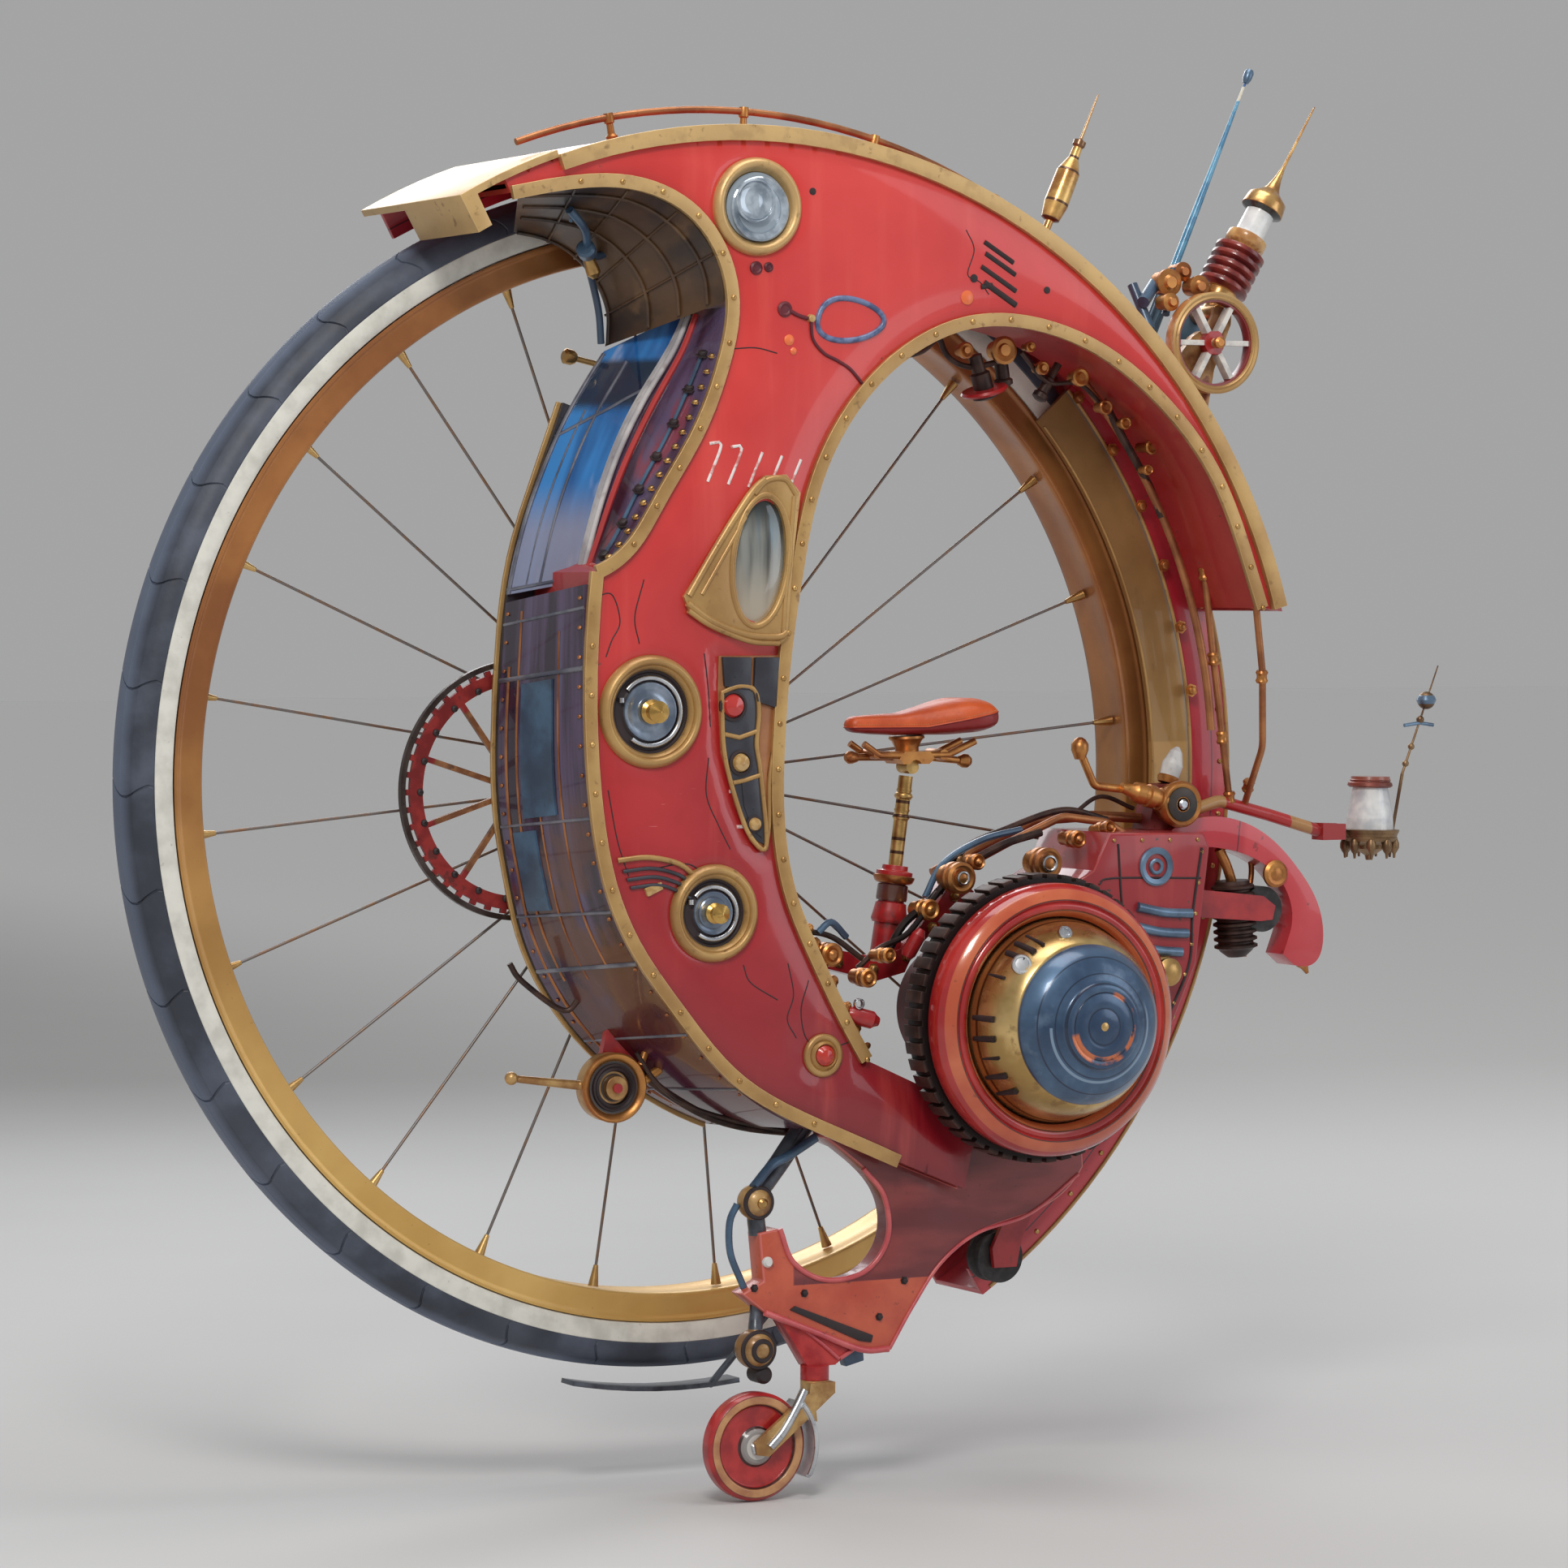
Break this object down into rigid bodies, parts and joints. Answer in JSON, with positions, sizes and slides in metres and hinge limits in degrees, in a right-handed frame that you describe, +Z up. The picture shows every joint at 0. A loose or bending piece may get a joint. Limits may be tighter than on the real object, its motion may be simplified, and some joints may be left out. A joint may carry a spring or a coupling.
{
  "type": "motor unicycle",
  "caption": "Motor unicycle: a spoked monowheel carried on a curved red side shell with saddle, drum engine, instruments, masts and a swivelling outrigger caster.",
  "frame": {"origin": "centre of the big wheel, on the axis of its hollow axle", "axes": "+X forwards, +Y across the machine to its bare far side, along the axle, +Z up"},
  "size_m": [2.4629, 0.66, 2.4054],
  "materials": {
    "tyre_rubber": "satin",
    "tube_rubber": "matte",
    "gold_rim": "satin",
    "spoke_steel": "brushed",
    "brass": "worn polish",
    "steel": "machined",
    "red_paint": "gloss",
    "dark_red_paint": "satin",
    "orange_red_paint": "gloss",
    "plum_lacquer": "gloss",
    "blue_glass": "polished",
    "rail_paint": "satin",
    "brown_lining": "satin",
    "dark_steel": "satin",
    "sprocket_red": "satin",
    "chain_steel": "oiled",
    "gold_paint": "satin",
    "clear_glass": "polished",
    "dial_silver": "satin",
    "lamp_red": "polished",
    "button_red": "gloss",
    "rotor_black": "satin",
    "dome_blue": "satin",
    "white_ceramic": "glazed",
    "saddle_leather": "smooth",
    "copper": "satin",
    "black_rubber": "ribbed",
    "caster_red": "gloss",
    "signal_blue": "gloss",
    "cable_blue": "satin"
  },
  "bodies": {
    "frame": {"side_shell": "red_paint", "body_trims": "brass", "limb_casing": "plum_lacquer", "canopy_glass": "blue_glass", "canopy_rail": "rail_paint", "mouth_liner": "brown_lining", "limb_back_plate": "dark_steel", "axle": "steel", "axle_nut": "steel", "fender_hoop": "red_paint", "hoop_lining": "gold_paint", "instrument_bezels": "brass", "instrument_dials": "dial_silver", "window_glass": "clear_glass", "oval_window_frame": "brass", "indicator_lamps": "lamp_red", "drum_housing": "dark_red_paint", "cockpit_box": "red_paint", "control_stand": "red_paint", "cockpit_lamp": "white_ceramic", "lamp_arm": "brass", "claw_fender": "red_paint", "small_brackets": "dark_red_paint", "seat_cradle": "orange_red_paint", "lower_bracket": "orange_red_paint", "bracket_braces": "dark_steel", "copper_pipes": "copper", "mast_base": "brass", "oil_flask": "brass", "drive_chain": "chain_steel"},
    "wheel": {"tyre": "tyre_rubber", "inner_tube": "tube_rubber", "rim": "gold_rim", "spokes": "spoke_steel", "spoke_ferrules": "brass", "hub_shell": "brass", "hub_bearings": "steel"},
    "sprocket": {"sprocket": "sprocket_red"},
    "drum": {"drum_rotor": "rotor_black", "drum_ring": "orange_red_paint", "drum_band": "gold_paint", "drum_dome": "dome_blue"},
    "upper_knob": {"upper_gauge_knob": "brass"},
    "lower_knob": {"lower_gauge_knob": "brass"},
    "button": {"push_button": "button_red"},
    "loop": {"loop_handle": "cable_blue"},
    "crank": {"hand_crank": "brass"},
    "lamp_head": {"lamp_base": "brass", "lamp_shade": "white_ceramic"},
    "tail_wheel": {"tail_roller": "black_rubber"},
    "guide_wheel": {"guide_roller": "caster_red"},
    "winch": {"winch": "brass"},
    "seat_post": {"seat_post": "brass"},
    "saddle": {"saddle": "saddle_leather", "saddle_frame": "brass"},
    "caster_fork": {"caster_fork": "brass"},
    "caster_wheel": {"caster_wheel": "caster_red"},
    "pulley": {"pulley_wheel": "brass"},
    "antenna": {"insulator_mast": "brass"},
    "signal_mast": {"signal_mast": "signal_blue"}
  },
  "joints": [
    {"name": "wheel_spin", "type": "hinge", "parent": "frame", "child": "wheel", "pos_m": [0, 0, 0], "axis": [0, 1, 0], "continuous": true},
    {"name": "sprocket_spin", "type": "hinge", "parent": "frame", "child": "sprocket", "pos_m": [-0.308, -0.05, -0.018], "axis": [0, 1, 0], "continuous": true},
    {"name": "drum_spin", "type": "hinge", "parent": "frame", "child": "drum", "pos_m": [0.505, -0.36, -0.402], "axis": [0, 1, 0], "continuous": true},
    {"name": "upper_gauge_turn", "type": "hinge", "parent": "frame", "child": "upper_knob", "pos_m": [-0.192, -0.32, 0.116], "axis": [0, 1, 0], "range_deg": [-135, 135]},
    {"name": "lower_gauge_turn", "type": "hinge", "parent": "frame", "child": "lower_knob", "pos_m": [-0.077, -0.32, -0.214], "axis": [0, 1, 0], "range_deg": [-135, 135]},
    {"name": "button_press", "type": "slide", "parent": "frame", "child": "button", "axis": [0, 1, 0], "range_m": [0, 0.006]},
    {"name": "loop_swing", "type": "hinge", "parent": "frame", "child": "loop", "pos_m": [0.114, -0.308, 0.758], "axis": [0, 0, -1], "range_deg": [0, 80]},
    {"name": "crank_turn", "type": "hinge", "parent": "frame", "child": "crank", "pos_m": [0.894, -0.17, -0.058], "axis": [0, 1, 0], "range_deg": [-12, 30]},
    {"name": "lamp_tilt", "type": "hinge", "parent": "frame", "child": "lamp_head", "pos_m": [1.243, -0.15, -0.114], "axis": [0, 1, 0], "range_deg": [-25, 30]},
    {"name": "tail_wheel_spin", "type": "hinge", "parent": "frame", "child": "tail_wheel", "pos_m": [1.078, -0.15, -0.246], "axis": [0, 1, 0], "continuous": true},
    {"name": "guide_wheel_spin", "type": "hinge", "parent": "frame", "child": "guide_wheel", "pos_m": [0.554, -0.138, -0.83], "axis": [0, 1, 0], "continuous": true},
    {"name": "winch_turn", "type": "hinge", "parent": "frame", "child": "winch", "pos_m": [-0.196, -0.165, -0.505], "axis": [0, 1, 0], "range_deg": [-130, 30]},
    {"name": "seat_height", "type": "slide", "parent": "frame", "child": "seat_post", "axis": [0.133, 0, 0.9911], "range_m": [-0.04, 0.05]},
    {"name": "saddle_tilt", "type": "hinge", "parent": "seat_post", "child": "saddle", "pos_m": [0.374, -0.15, 0.014], "axis": [0, 1, 0], "range_deg": [-8, 8]},
    {"name": "caster_swivel", "type": "hinge", "parent": "frame", "child": "caster_fork", "pos_m": [0.135, -0.262, -1], "axis": [0, 0, 1], "continuous": true},
    {"name": "caster_spin", "type": "hinge", "parent": "caster_fork", "child": "caster_wheel", "pos_m": [0.02, -0.262, -1.101], "axis": [0, 1, 0], "continuous": true},
    {"name": "pulley_spin", "type": "hinge", "parent": "frame", "child": "pulley", "pos_m": [0.913, -0.256, 0.737], "axis": [0, 1, 0], "continuous": true},
    {"name": "antenna_tilt", "type": "hinge", "parent": "frame", "child": "antenna", "pos_m": [0.946, -0.195, 0.79], "axis": [0, 1, 0], "range_deg": [-5, 20]},
    {"name": "signal_slide", "type": "slide", "parent": "frame", "child": "signal_mast", "axis": [0.4083, 0, 0.9129], "range_m": [-0.04, 0.1]}
  ],
  "couplings": [
    {"joint": "sprocket_spin", "follows": "wheel_spin", "ratio": 0.36364}
  ]
}
